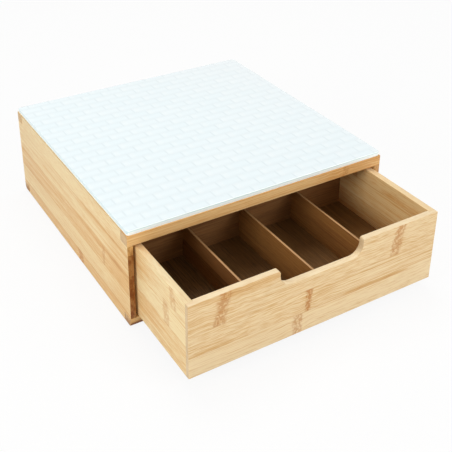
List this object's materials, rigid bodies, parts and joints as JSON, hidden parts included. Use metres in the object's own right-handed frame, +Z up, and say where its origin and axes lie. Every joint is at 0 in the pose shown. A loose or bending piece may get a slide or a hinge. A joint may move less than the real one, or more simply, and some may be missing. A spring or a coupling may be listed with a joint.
{
  "type": "capsule drawer cabinet",
  "caption": "Low bamboo cabinet with a printed glass top and a sliding drawer that a grid of thin dividers splits into compartments for coffee capsules; a coffee machine stands on top",
  "frame": {"origin": "on the table, under the middle of the box round the part with its drawer part open, as it is shown", "axes": "+X to the right along the drawer front, +Y to the back, +Z up; the drawer opens towards -Y"},
  "size_m": [0.3, 0.398, 0.111],
  "materials": {
    "bamboo": "satin",
    "thin_bamboo": "matte",
    "printed_glass": "gloss",
    "pad": "matte"
  },
  "bodies": {
    "cabinet": {"left_side_board": "bamboo", "right_side_board": "bamboo", "top_front_rail": "bamboo", "top_back_rail": "bamboo", "bottom_front_rail": "bamboo", "bottom_back_rail": "bamboo", "back_board": "bamboo", "base_board": "thin_bamboo", "top_board": "thin_bamboo", "glass_top": "printed_glass", "feet": "pad"},
    "drawer": {"drawer_front": "bamboo", "drawer_left_side": "bamboo", "drawer_right_side": "bamboo", "drawer_back": "bamboo", "drawer_floor": "thin_bamboo", "divider_left": "thin_bamboo", "divider_middle": "thin_bamboo", "divider_right": "thin_bamboo", "cross_divider": "thin_bamboo"}
  },
  "joints": [
    {"name": "drawer_slide", "type": "slide", "parent": "cabinet", "child": "drawer", "axis": [0, -1, 0], "range_m": [-0.098, 0.1]}
  ]
}
